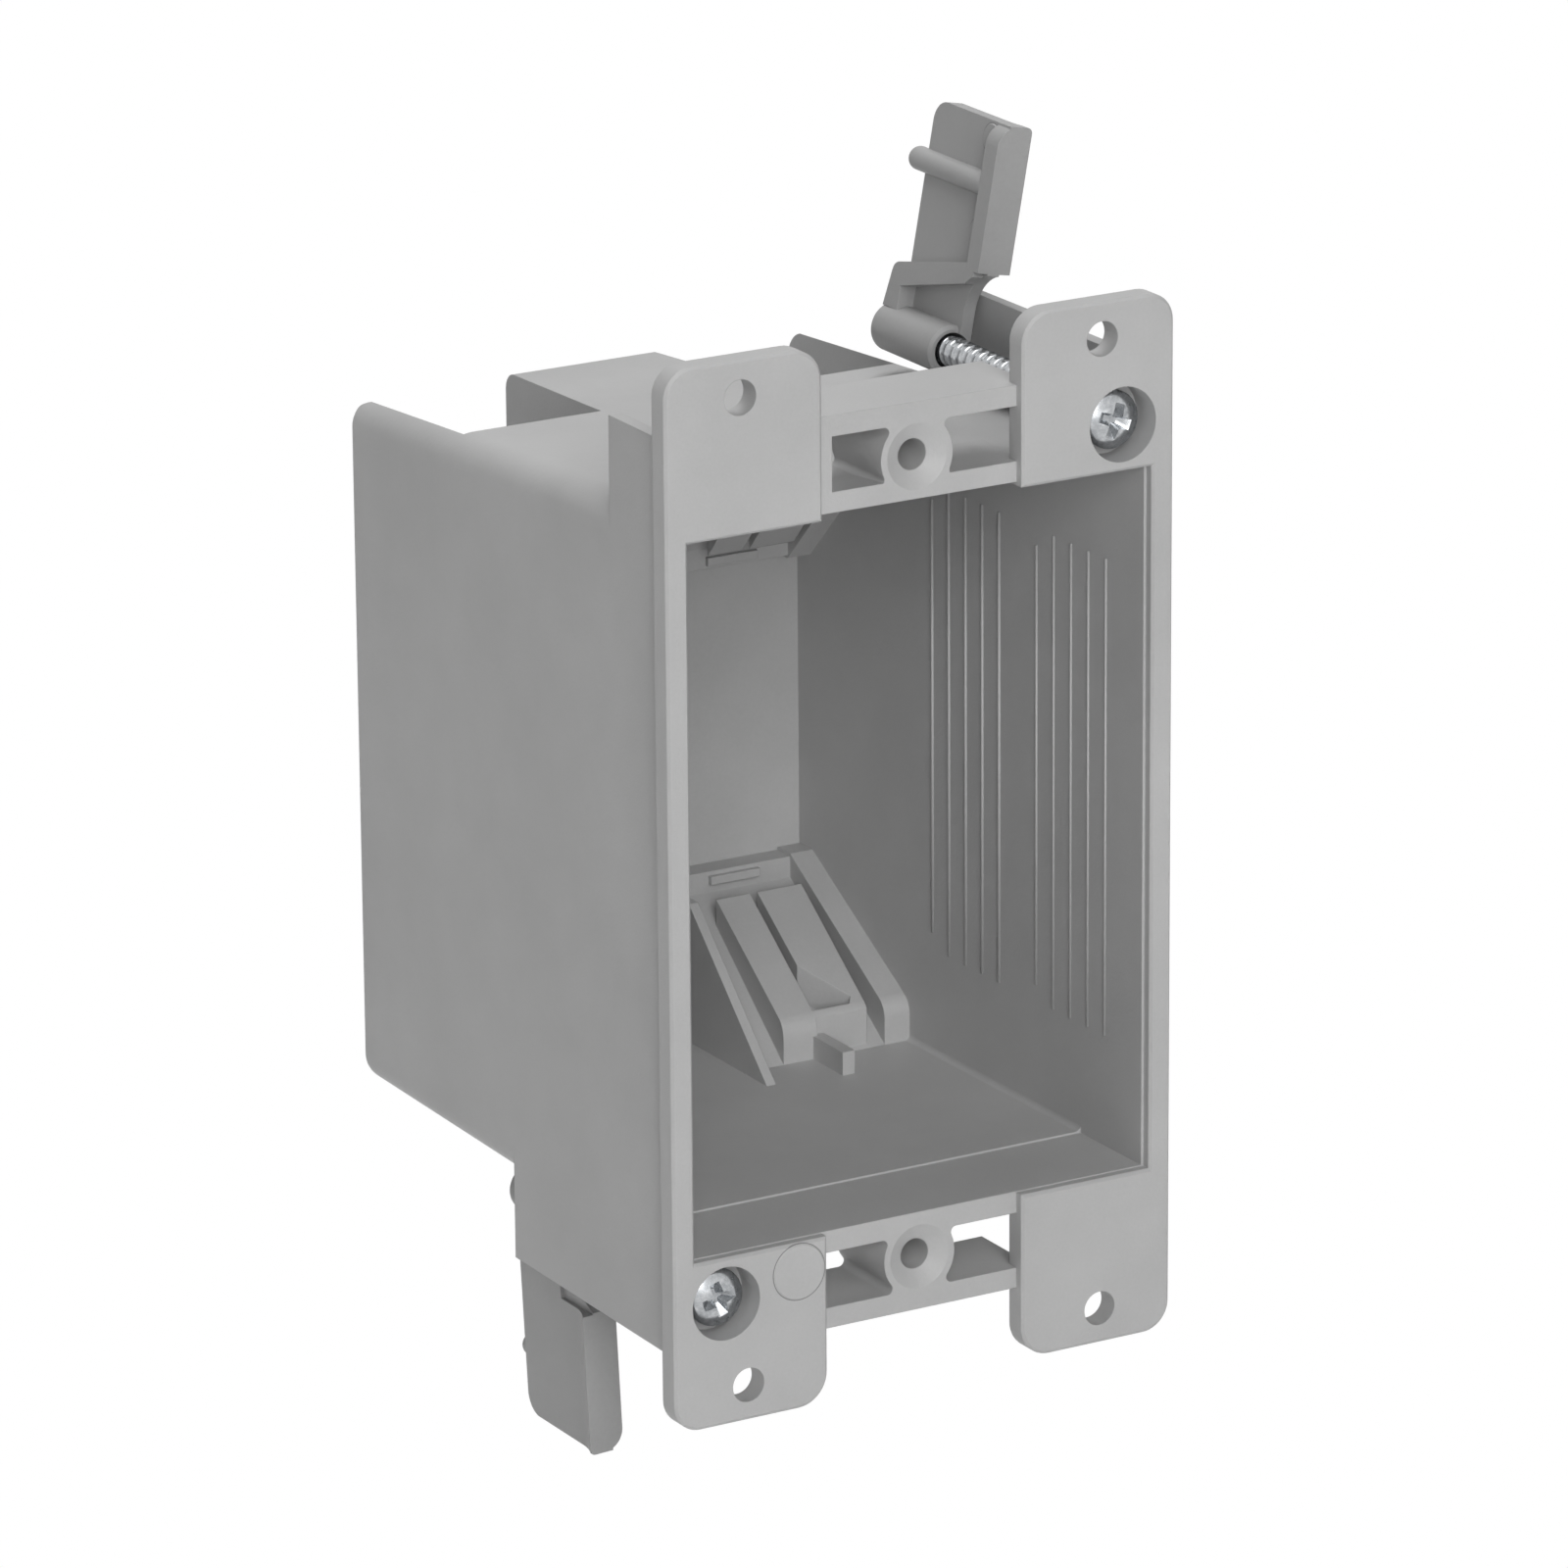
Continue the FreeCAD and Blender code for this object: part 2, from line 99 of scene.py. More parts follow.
# %% [markdown]
# Colours are written the way a picture editor shows them, as sRGB hex values. The shader
# works in linear light, so one function turns a hex value into linear numbers.
#
# Materials and Geometry Nodes are both trees of nodes. A small function adds a node with its
# settings and its inputs: an input may be a plain value or the output of another node. A
# second one does the same for arithmetic, which takes many Math nodes in a row. A third adds
# the ramp that turns a grey noise into two close tones.

# %% Colour and node helpers
def linear(hex_value):
    """sRGB hex, such as 9A9A9A, to a linear colour with alpha."""
    parts = [int(hex_value[i:i + 2], 16) / 255 for i in (0, 2, 4)]
    return [c / 12.92 if c <= 0.04045 else ((c + 0.055) / 1.055) ** 2.4 for c in parts] + [1.0]


def add_node(tree, kind, settings=None, inputs=None):
    """Adds a node; an input is set from a value or linked from another node's output."""
    made = tree.nodes.new(kind)
    for name, value in (settings or {}).items():
        setattr(made, name, value)
    for name, value in (inputs or {}).items():
        socket = made.inputs[name]
        if isinstance(value, bpy.types.NodeSocket):
            tree.links.new(value, socket)
        else:
            socket.default_value = value
    return made


def calculator(tree):
    """Returns a function that adds one Math node to the tree and gives its result."""
    def calc(operation, *values):
        inputs = dict(enumerate(values))
        return add_node(tree, "ShaderNodeMath", {"operation": operation}, inputs).outputs[0]

    return calc


def tone_ramp(tree, share, dark, pale, dark_at, pale_at):
    """Blends two hex tones as the share goes from dark_at to pale_at."""
    ramp = add_node(tree, "ShaderNodeValToRGB", None, {"Fac": share})
    ends = ramp.color_ramp.elements
    for end, tone, place in ((ends[0], dark, dark_at), (ends[1], pale, pale_at)):
        end.position = place
        end.color = linear(tone)
    return ramp.outputs["Color"]


def fresh_material(name):
    """Returns a new material and its node tree, emptied."""
    material = bpy.data.materials.new(name)
    material.use_nodes = True
    material.node_tree.nodes.clear()
    return material, material.node_tree


print("mid grey in linear light:", [round(c, 3) for c in linear("808080")])

# %% [markdown]
# The box is injection-moulded PVC. Its mould was finished by spark erosion, which leaves a
# fine even grain: it scatters the light, so the plastic looks soft and has no sharp
# reflections. Slow differences in how the melt cooled show as faint clouds in the grey.
#
# Three scales are mixed. Clouds are about 18 mm wide. The grain of such a finish is about
# 0.1 mm, too fine to show at this picture size, so it is drawn at 0.35 mm, with specks about
# twice as wide among it. Moulded edges are never knife sharp either, so a Bevel node rounds
# the shading over a fraction of a millimetre along every edge, which gives each edge its
# thin line of light. That rounding would wipe out marks that are only a tenth of a
# millimetre high, so the two plastics also exist with a much smaller edge for the raised
# lines and the pin pads.

# %% Moulded plastic
cloud_width = 18 * mm
speck_to_grain = 2.2
grain_in_tone = 0.35
specks_in_height = 0.4
pvc_refraction = 1.54


def moulded_plastic(name, dark, pale, grain_mm, grain_depth_mm, rough, edge_mm):
    """Grained PVC: clouds of two close greys, fine bump, soft edges."""
    material, tree = fresh_material(name)
    calc = calculator(tree)
    place = add_node(tree, "ShaderNodeTexCoord").outputs["Object"]
    clouds = add_node(tree, "ShaderNodeTexNoise", {"noise_dimensions": "3D"},
                      {"Vector": place, "Scale": 1 / cloud_width,
                       "Detail": 3.0, "Roughness": 0.55}).outputs["Fac"]
    grain = add_node(tree, "ShaderNodeTexNoise", {"noise_dimensions": "3D"},
                     {"Vector": place, "Scale": 1 / (grain_mm * mm),
                      "Detail": 2.0, "Roughness": 0.6}).outputs["Fac"]
    specks = add_node(tree, "ShaderNodeTexVoronoi", {"feature": "F1"},
                      {"Vector": place, "Scale": 1 / (grain_mm * speck_to_grain * mm)})
    blend = calc("MULTIPLY_ADD", grain, grain_in_tone, clouds)
    tone = tone_ramp(tree, blend, dark, pale, 0.40, 0.95)
    gloss = add_node(tree, "ShaderNodeMapRange", None,
                     {"Value": grain, "From Min": 0.3, "From Max": 0.7,
                      "To Min": rough - 0.05, "To Max": rough + 0.07})
    soft_edge = add_node(tree, "ShaderNodeBevel", {"samples": 6}, {"Radius": edge_mm * mm})
    height = calc("MULTIPLY_ADD", specks.outputs["Distance"], specks_in_height, grain)
    bump = add_node(tree, "ShaderNodeBump", None,
                    {"Strength": 0.5, "Distance": grain_depth_mm * mm, "Height": height,
                     "Normal": soft_edge.outputs["Normal"]})
    surface = add_node(tree, "ShaderNodeBsdfPrincipled", None,
                       {"Base Color": tone, "Roughness": gloss.outputs["Result"],
                        "IOR": pvc_refraction, "Normal": bump.outputs["Normal"]})
    add_node(tree, "ShaderNodeOutputMaterial", None, {"Surface": surface.outputs["BSDF"]})
    return material


# After the two greys come the grain's width and depth, the roughness, and the soft edge.
# All but the roughness are in millimetres.
box_greys = ("A9A9A9", "B5B5B5")
clamp_greys = ("959595", "A1A1A1")
# The darker greys paint the shade ring round the pin pads: painted shade, not a plastic of its own.
pad_shade_ring_greys = ("767676", "848484")
box_pvc = moulded_plastic("spark_eroded_grey_pvc", *box_greys, 0.35, 0.05, 0.52, 0.15)
clamp_pvc = moulded_plastic("smooth_grey_clamp_pvc", *clamp_greys, 0.45, 0.04, 0.46, 0.13)
box_relief_pvc = moulded_plastic("fine_relief_grey_pvc", *box_greys, 0.35, 0.03, 0.50, 0.02)
clamp_relief_pvc = moulded_plastic("fine_relief_clamp_pvc", *clamp_greys, 0.45, 0.03, 0.44, 0.02)
pad_shade_ring_pvc = moulded_plastic("pin_pad_shade_ring_pvc", *pad_shade_ring_greys, 0.35, 0.03, 0.60, 0.02)
plastics = [box_pvc, clamp_pvc, box_relief_pvc, clamp_relief_pvc, pad_shade_ring_pvc]
print("plastics:", [m.name for m in plastics])

# %% [markdown]
# The screws are cold-headed steel with bright zinc plate. Zinc is a pale metal with a
# slight blue cast; barrel plating leaves it finely mottled, with patches about 0.6 mm wide.
# The roots of the thread are painted dark: this is painted shade for the narrow valleys,
# where little light reaches. So the shader measures how far each point lies from the axis of
# its screw. Both screws stand equally far from the middle of the box, so one formula with
# absolute values does.

# %% Bright zinc plate
mottle_width = 0.6 * mm
mottle_depth = 0.02 * mm
# Painted shade for the thread roots: its tone and how strongly it darkens them.
root_shade_tone = "3A3C3E"
root_shade_strength = 0.75


def zinc_plate(name, dark, pale, rough):
    """Barrel-plated steel: mottled tone and gloss, faint bump, painted shade in the thread roots.
    """
    material, tree = fresh_material(name)
    calc = calculator(tree)
    place = add_node(tree, "ShaderNodeTexCoord").outputs["Object"]
    mottle = add_node(tree, "ShaderNodeTexNoise", {"noise_dimensions": "3D"},
                      {"Vector": place, "Scale": 1 / mottle_width,
                       "Detail": 4.0, "Roughness": 0.6}).outputs["Fac"]
    plate = tone_ramp(tree, mottle, dark, pale, 0.3, 0.7)
    gloss = add_node(tree, "ShaderNodeMapRange", None,
                     {"Value": mottle, "From Min": 0.3, "From Max": 0.7,
                      "To Min": rough + 0.10, "To Max": rough - 0.04})
    bump = add_node(tree, "ShaderNodeBump", None,
                    {"Strength": 0.25, "Distance": mottle_depth, "Height": mottle})
    spot = add_node(tree, "ShaderNodeSeparateXYZ", None, {0: place}).outputs
    across = calc("SUBTRACT", calc("ABSOLUTE", spot["X"]), screw_across)
    up = calc("SUBTRACT", calc("ABSOLUTE", spot["Z"]), screw_up)
    squares = calc("ADD", calc("MULTIPLY", across, across), calc("MULTIPLY", up, up))
    # Painted shade: points near the thread root are darkened towards the root shade tone.
    root_shade_mask = add_node(tree, "ShaderNodeMapRange", None,
                       {"Value": calc("SQRT", squares),
                        "From Min": thread_radius - thread_groove,
                        "From Max": thread_radius - 0.2 * thread_groove,
                        "To Min": root_shade_strength, "To Max": 0.0})
    behind_head = calc("GREATER_THAN", spot["Y"], head_under)
    painted_root_shade = calc("MULTIPLY", root_shade_mask.outputs["Result"], behind_head)
    first_tone, second_tone, mixed_tone = 6, 7, 2
    tone = add_node(tree, "ShaderNodeMix", {"data_type": "RGBA"},
                    {"Factor": painted_root_shade, first_tone: plate, second_tone: linear(root_shade_tone)})
    surface = add_node(tree, "ShaderNodeBsdfPrincipled", None,
                       {"Base Color": tone.outputs[mixed_tone], "Metallic": 1.0,
                        "Roughness": gloss.outputs["Result"], "Normal": bump.outputs["Normal"]})
    add_node(tree, "ShaderNodeOutputMaterial", None, {"Surface": surface.outputs["BSDF"]})
    return material


zinc = zinc_plate("bright_zinc_plated_steel", "999C9F", "C2C4C6", 0.20)
print("metal:", zinc.name)

# %% [markdown]
# The box body and the two clamps keep their exact solids, so they only need their finish.
# The material is placed by Object coordinates, so its grain keeps its real size however
# large or small a face is.

# %% Finish the moulded solids
def wear_one(mesh, material):
    """Gives every face of a mesh the same material."""
    mesh.materials.clear()
    mesh.materials.append(material)
    for face in mesh.polygons:
        face.material_index = 0


for node, plastic in (("box_body", box_pvc), ("upper_clamp", clamp_pvc),
                      ("lower_clamp", clamp_pvc)):
    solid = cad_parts[node]
    wear_one(solid.data, plastic)
    print(node, len(solid.data.polygons), "triangles")

# %% [markdown]
# The clamp screws cut their own thread in the plastic, so theirs is coarse: 18 turns to the
# inch, with broad bright crests and narrow valleys between them. Plastic needs little depth
# to hold, so a valley is only 0.3 mm deep.
#
# The thread is one long helix that repeats the same valley, so Geometry Nodes make it. A
# plain cylinder is cut into many thin rings, and each point is pushed inwards by a distance
# that depends on its height and on its angle round the axis. Points at the same phase form
# a helix. The last millimetre shrinks a little, as the point of a real screw does.

# %% Thread tree
rings_per_turn = 14.0
thread_corners = 40
flank_starts, flank_ends = 0.5, 0.95
tip_length, tip_share = 1.0 * mm, 0.75


def tree_with_inputs(name, sizes):
    """A Geometry Nodes tree with named sizes; a whole number makes an integer input."""
    tree = bpy.data.node_groups.new(name, "GeometryNodeTree")
    face = tree.interface
    face.new_socket("Geometry", in_out="INPUT", socket_type="NodeSocketGeometry")
    for label, value in sizes:
        kind = "NodeSocketInt" if isinstance(value, int) else "NodeSocketFloat"
        face.new_socket(label, in_out="INPUT", socket_type=kind).default_value = value
    face.new_socket("Geometry", in_out="OUTPUT", socket_type="NodeSocketGeometry")
    return tree, add_node(tree, "NodeGroupInput").outputs


def point_places(tree):
    """X, Y and Z of every point."""
    place = add_node(tree, "GeometryNodeInputPosition").outputs[0]
    return add_node(tree, "ShaderNodeSeparateXYZ", None, {0: place}).outputs


def thread_tree(material):
    """Geometry Nodes tree: a right-hand screw thread along +Z, with named sizes."""
    tree, given = tree_with_inputs("clamp_screw_thread", (
        ("Radius", thread_radius), ("Pitch", thread_pitch),
        ("Groove", thread_groove), ("Length", shank_length)))
    calc = calculator(tree)
    turns = calc("DIVIDE", given["Length"], given["Pitch"])
    rings = add_node(tree, "FunctionNodeFloatToInt", None,
                     {"Float": calc("MULTIPLY", turns, rings_per_turn)})
    rod = add_node(tree, "GeometryNodeMeshCylinder", {"fill_type": "TRIANGLE_FAN"},
                   {"Vertices": thread_corners, "Side Segments": rings.outputs[0],
                    "Fill Segments": 1, "Radius": given["Radius"], "Depth": given["Length"]})
    point = point_places(tree)
    angle = calc("ARCTAN2", point["Y"], point["X"])
    phase = calc("FRACT", calc("SUBTRACT", calc("DIVIDE", point["Z"], given["Pitch"]),
                               calc("DIVIDE", angle, 2 * math.pi)))
    ridge = calc("ABSOLUTE", calc("MULTIPLY_ADD", phase, 2.0, -1.0))
    flank = add_node(tree, "ShaderNodeMapRange", None,
                     {"Value": ridge, "From Min": flank_starts, "From Max": flank_ends,
                      "To Min": 0.0, "To Max": 1.0})
    to_tip = calc("SUBTRACT", calc("MULTIPLY", given["Length"], 0.5), point["Z"])
    taper = add_node(tree, "ShaderNodeMapRange", None,
                     {"Value": to_tip, "From Min": 0.0, "From Max": tip_length,
                      "To Min": tip_share, "To Max": 1.0}).outputs["Result"]
    cut = calc("MULTIPLY", flank.outputs["Result"], given["Groove"])
    share = calc("DIVIDE", calc("SUBTRACT", given["Radius"], cut), given["Radius"])
    scale = calc("MULTIPLY", share, taper)
    moved = add_node(tree, "ShaderNodeCombineXYZ", None,
                     {"X": calc("MULTIPLY", point["X"], scale),
                      "Y": calc("MULTIPLY", point["Y"], scale), "Z": point["Z"]})
    shaped = add_node(tree, "GeometryNodeSetPosition", None,
                      {"Geometry": rod.outputs["Mesh"], "Position": moved.outputs[0]})
    smooth = add_node(tree, "GeometryNodeSetShadeSmooth", None,
                      {"Geometry": shaped.outputs[0], "Shade Smooth": True})
    real = add_node(tree, "GeometryNodeRealizeInstances", None, {"Geometry": smooth.outputs[0]})
    finished = add_node(tree, "GeometryNodeSetMaterial", None,
                        {"Geometry": real.outputs[0], "Material": material})
    add_node(tree, "NodeGroupOutput", None, {"Geometry": finished.outputs[0]})
    return tree


thread = thread_tree(zinc)
print("thread tree nodes:", len(thread.nodes))
print("turns on each screw:", round(shank_length / thread_pitch, 1))

# %% [markdown]
# A Geometry Nodes result lives only in the modifier. This helper runs a tree on an empty
# carrier object, turns the evaluated result into a plain mesh, and throws the modifier
# away, so that what rides on the box later is an ordinary mesh. The same step serves any
# other modifier.

# %% Bake helper
def new_object(name, data):
    """An object at the origin that carries the given data."""
    made = bpy.data.objects.new(name, data)
    bpy.context.scene.collection.objects.link(made)
    return made


def apply_modifiers(thing):
    """Replaces an object's mesh by what its modifiers make of it."""
    bpy.context.view_layer.update()
    graph = bpy.context.evaluated_depsgraph_get()
    mesh = bpy.data.meshes.new_from_object(thing.evaluated_get(graph))
    thing.modifiers.clear()
    thing.data = mesh


def baked(tree, name, sizes):
    """Runs a Geometry Nodes tree and returns its result as a plain mesh object."""
    carrier = new_object(name, bpy.data.meshes.new(name))
    modifier = carrier.modifiers.new("nodes", "NODES")
    modifier.node_group = tree
    for item in tree.interface.items_tree:
        if item.in_out == "INPUT" and item.name in sizes:
            modifier[item.identifier] = sizes[item.name]
    apply_modifiers(carrier)
    carrier.data.name = name
    return carrier


print("sizes the thread can be given:",
      [item.name for item in thread.interface.items_tree if item.socket_type == "NodeSocketFloat"])

# %% [markdown]
# The head is a pan head with a wide cross recess. The head is a lathe shape: a short
# profile of radius and depth is spun round the axis. The recess is cut with a Boolean, from
# a cross whose arms narrow as they go down, so its walls slope and catch the light.

# %% Lathe and cross
def object_from(work, name):
    """Turns an edited mesh into an object."""
    mesh = bpy.data.meshes.new(name)
    work.to_mesh(mesh)
    work.free()
    return new_object(name, mesh)


def lathe(name, profile, steps):
    """Spins (radius, height) points round Z. The first and last points lie on the axis."""
    work = bmesh.new()
    rings = []
    for radius, height in profile:
        if radius == 0:
            rings.append([work.verts.new((0, 0, height))])
            continue
        ring = []
        for step in range(steps):
            turn = 2 * math.pi * step / steps
            ring.append(work.verts.new((radius * math.cos(turn), radius * math.sin(turn), height)))
        rings.append(ring)
    for low, high in zip(rings, rings[1:]):
        for step in range(steps):
            after = (step + 1) % steps
            corners = [low[step % len(low)], low[after % len(low)],
                       high[after % len(high)], high[step % len(high)]]
            unique = [v for i, v in enumerate(corners) if v not in corners[:i]]
            work.faces.new(unique)
    bmesh.ops.recalc_face_normals(work, faces=work.faces)
    return object_from(work, name)


def tapered_cross(name, reach, half_width, depth, foot_reach, foot_half):
    """A plus-shaped plug that narrows downwards, for cutting the recess."""
    work = bmesh.new()
    over_head = 0.5 * mm

    def plus(length, width, height):
        points = []
        for quarter in range(4):
            turn = Matrix.Rotation(quarter * math.pi / 2, 3, "Z")
            for x, y in ((length, -width), (length, width), (width, width)):
                points.append(work.verts.new(turn @ Vector((x, y, height))))
        return points

    top = plus(reach, half_width, over_head)
    mouth = plus(reach, half_width, 0)
    foot = plus(foot_reach, foot_half, -depth)
    for upper, lower in ((top, mouth), (mouth, foot)):
        for i in range(len(upper)):
            j = (i + 1) % len(upper)
            work.faces.new((upper[i], upper[j], lower[j], lower[i]))
    work.faces.new(top)
    work.faces.new(list(reversed(foot)))
    bmesh.ops.recalc_face_normals(work, faces=work.faces)
    return object_from(work, name)


print("head height in mm:", round((head_under - head_crown) / mm, 2))

# %% [markdown]
# The top of a pan head is a flat dome with a small round at its rim, then a straight side.
# The cross recess of this size is just over 4 mm across and 1.35 mm deep. A narrow Bevel
# modifier takes the sharpness off all its edges, which is what makes a plated head sparkle.

# %% Screw head
dome_rise, rim_round, foot_round = 0.75 * mm, 0.2 * mm, 0.15 * mm
dome_steps, head_steps = 14, 48
cross_reach, cross_half, cross_depth = 2.10 * mm, 0.62 * mm, 1.35 * mm
cross_foot_reach, cross_foot_half = 0.80 * mm, 0.26 * mm
edge_softness, soft_above, sharp_above = 0.09 * mm, math.radians(38), math.radians(35)


def dome_profile():
    """Radius and height of the pan head, crown at height 0, underside below."""
    sphere = (head_radius ** 2 + dome_rise ** 2) / (2 * dome_rise)
    points = [(0, 0)]
    for step in range(1, dome_steps + 1):
        radius = (head_radius - rim_round) * step / dome_steps
        points.append((radius, math.sqrt(sphere ** 2 - radius ** 2) - sphere))
    edge = points[-1][1]
    underside = -(head_under - head_crown)
    points.append((head_radius - 0.06 * mm, edge - 0.13 * mm))
    points.append((head_radius, edge - 0.28 * mm))
    points.append((head_radius, underside + foot_round))
    points.append((head_radius - foot_round, underside))
    points.append((0, underside))
    return points


def screw_head(name):
    """A plated pan head with its crown at the origin, facing +Z."""
    head = lathe(name, dome_profile(), head_steps)
    cross = tapered_cross(name + "_cross", cross_reach, cross_half, cross_depth,
                          cross_foot_reach, cross_foot_half)
    cut = head.modifiers.new("cut", "BOOLEAN")
    cut.operation = "DIFFERENCE"
    cut.solver = "EXACT"
    cut.object = cross
    soften = head.modifiers.new("soft_edges", "BEVEL")
    soften.width = edge_softness
    soften.segments = 2
    soften.limit_method = "ANGLE"
    soften.angle_limit = soft_above
    apply_modifiers(head)
    bpy.data.objects.remove(cross)
    wear_one(head.data, zinc)
    head.data.set_sharp_from_angle(angle=sharp_above)
    return head


print("dome profile points:", len(dome_profile()))

# %% [markdown]
# The finished screw joins its head and thread in one mesh. The cross of each head stands at
# its own angle, because nobody lines screws up in a factory. Each screw rides on the body
# that its plain solid belongs to, and takes that solid's place.

# %% Fit both screws
def join(name, pieces):
    """Joins mesh objects that share the origin into one object."""
    work = bmesh.new()
    for piece in pieces:
        work.from_mesh(piece.data)
    made = object_from(work, name)
    made.data.materials.append(pieces[0].data.materials[0])
    for piece in pieces:
        bpy.data.objects.remove(piece)
    return made


def screw_place(side, depth, quarter_turns):
    """Moves a mesh to a screw's axis, after quarter turns that point its +Z along that axis."""
    moved = Matrix.Translation((side * screw_across, depth, side * screw_up))
    return moved @ Matrix.Rotation(quarter_turns * math.pi / 2, 4, "X")


def fit_screw(side, body, node, cross_degrees):
    """Builds one clamp screw; side is 1 for the upper right and -1 for the lower left."""
    name = node.replace("clamp_screw", "zinc_screw")
    shank = baked(thread, name + "_shank", {})
    shank.data.transform(screw_place(side, (head_under + shank_end) / 2, -1))
    head = screw_head(name + "_head")
    head.data.transform(Matrix.Rotation(math.radians(cross_degrees), 4, "Z"))
    head.data.transform(screw_place(side, head_crown, 1))
    whole = join(name, [head, shank])
    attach(whole, body)
    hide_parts(node)
    print(name, len(whole.data.polygons), "faces")


fit_screw(1, "upper_screw", "upper_clamp_screw", -20)
fit_screw(-1, "lower_screw", "lower_clamp_screw", 16)

# %% [markdown]
# Where a pin pushed the warm moulding out of its mould, a faint round pad is left. One
# crosses the lower left ear, and each clamp has two on the inner side of its arm, half
# hidden by the front wing. A pad is a thin disc with a sloping rim, sunk a little into the
# surface so that no gap shows. A narrow flat ring of darker plastic surrounds the rim: it is
# painted shade, which stands for the hairline shadow round such a mark. The clamp's pads are
# placed in the clamp's own directions, across, into the wall and up the arm, and then leaned
# and moved with it.

# %% Ejector pin pads
pad_steps = 64
ear_pad_radius, ear_pad_x, ear_pad_z = 2.93 * mm, -14.7 * mm, -40.06 * mm
clamp_pad_radius, clamp_pad_across = 1.5 * mm, 0.5 * mm
clamp_pads = (("tip", 3.2 * mm, 22.2 * mm), ("root", 3.0 * mm, 12.55 * mm))
clamp_stands = (("upper", 1, 10.5, 29.0 * mm), ("lower", -1, 180 - 2.75, 24.6 * mm))


def pin_pad(name, radius, body, placing, material):
    """A disc a little proud of the surface, facing +Z before it is placed."""
    proud, sunk, slope = 0.15 * mm, 0.06 * mm, 0.12 * mm
    line_proud, line_width = 0.02 * mm, 0.10 * mm
    profile = [(0, proud), (radius - slope, proud), (radius, line_proud),
               (radius + line_width, line_proud), (radius + line_width, -sunk), (0, -sunk)]
    pad = lathe(name, profile, pad_steps)
    # The flat outer ring gets the darker plastic, which is painted shade round the pad.
    pad.data.materials.append(material)
    pad.data.materials.append(pad_shade_ring_pvc)
    for face in pad.data.polygons:
        on_ring = Vector((face.center.x, face.center.y)).length > radius - slope / 4
        face.material_index = 1 if on_ring else 0
    pad.data.transform(placing)
    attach(pad, body)


def clamp_place(side, lean_degrees, front):
    """From the clamp's own directions (across, inwards, up) to the frame."""
    middle = Matrix.Translation((side * screw_across, front, side * screw_up))
    return middle @ Matrix.Rotation(math.radians(lean_degrees), 4, "Y")


outward = Matrix.Rotation(math.pi / 2, 4, "X")
inward = Matrix.Rotation(-math.pi / 2, 4, "Y")
ear_place = Matrix.Translation((ear_pad_x, 0, ear_pad_z)) @ outward
pin_pad("ear_pin_pad", ear_pad_radius, "box", ear_place, box_relief_pvc)
for which, side, lean, front in clamp_stands:
    for label, y, up in clamp_pads:
        spot = Matrix.Translation((clamp_pad_across, y, up))
        placing = clamp_place(side, lean, front) @ spot @ inward
        pin_pad(which + "_clamp_" + label + "_pin_pad", clamp_pad_radius, which + "_arm",
                placing, clamp_relief_pvc)

# %% [markdown]
# Inside the right wall stand two groups of five thin raised lines, a feature of the mould.
# Geometry Nodes place them: a row of points runs along the depth of the box, each point is
# moved onto the leaning wall, and a slim rod is stood on every point. The rearmost line of
# each group is shorter, so the rod's length follows the point's number.

# %% Raised lines on the wall
line_middle_z = 0.25 * mm
line_corners = 10
line_groups = (("front_wall_lines", 8.05 * mm, 0.16 * mm),
               ("rear_wall_lines", 28.0 * mm, 0.20 * mm))


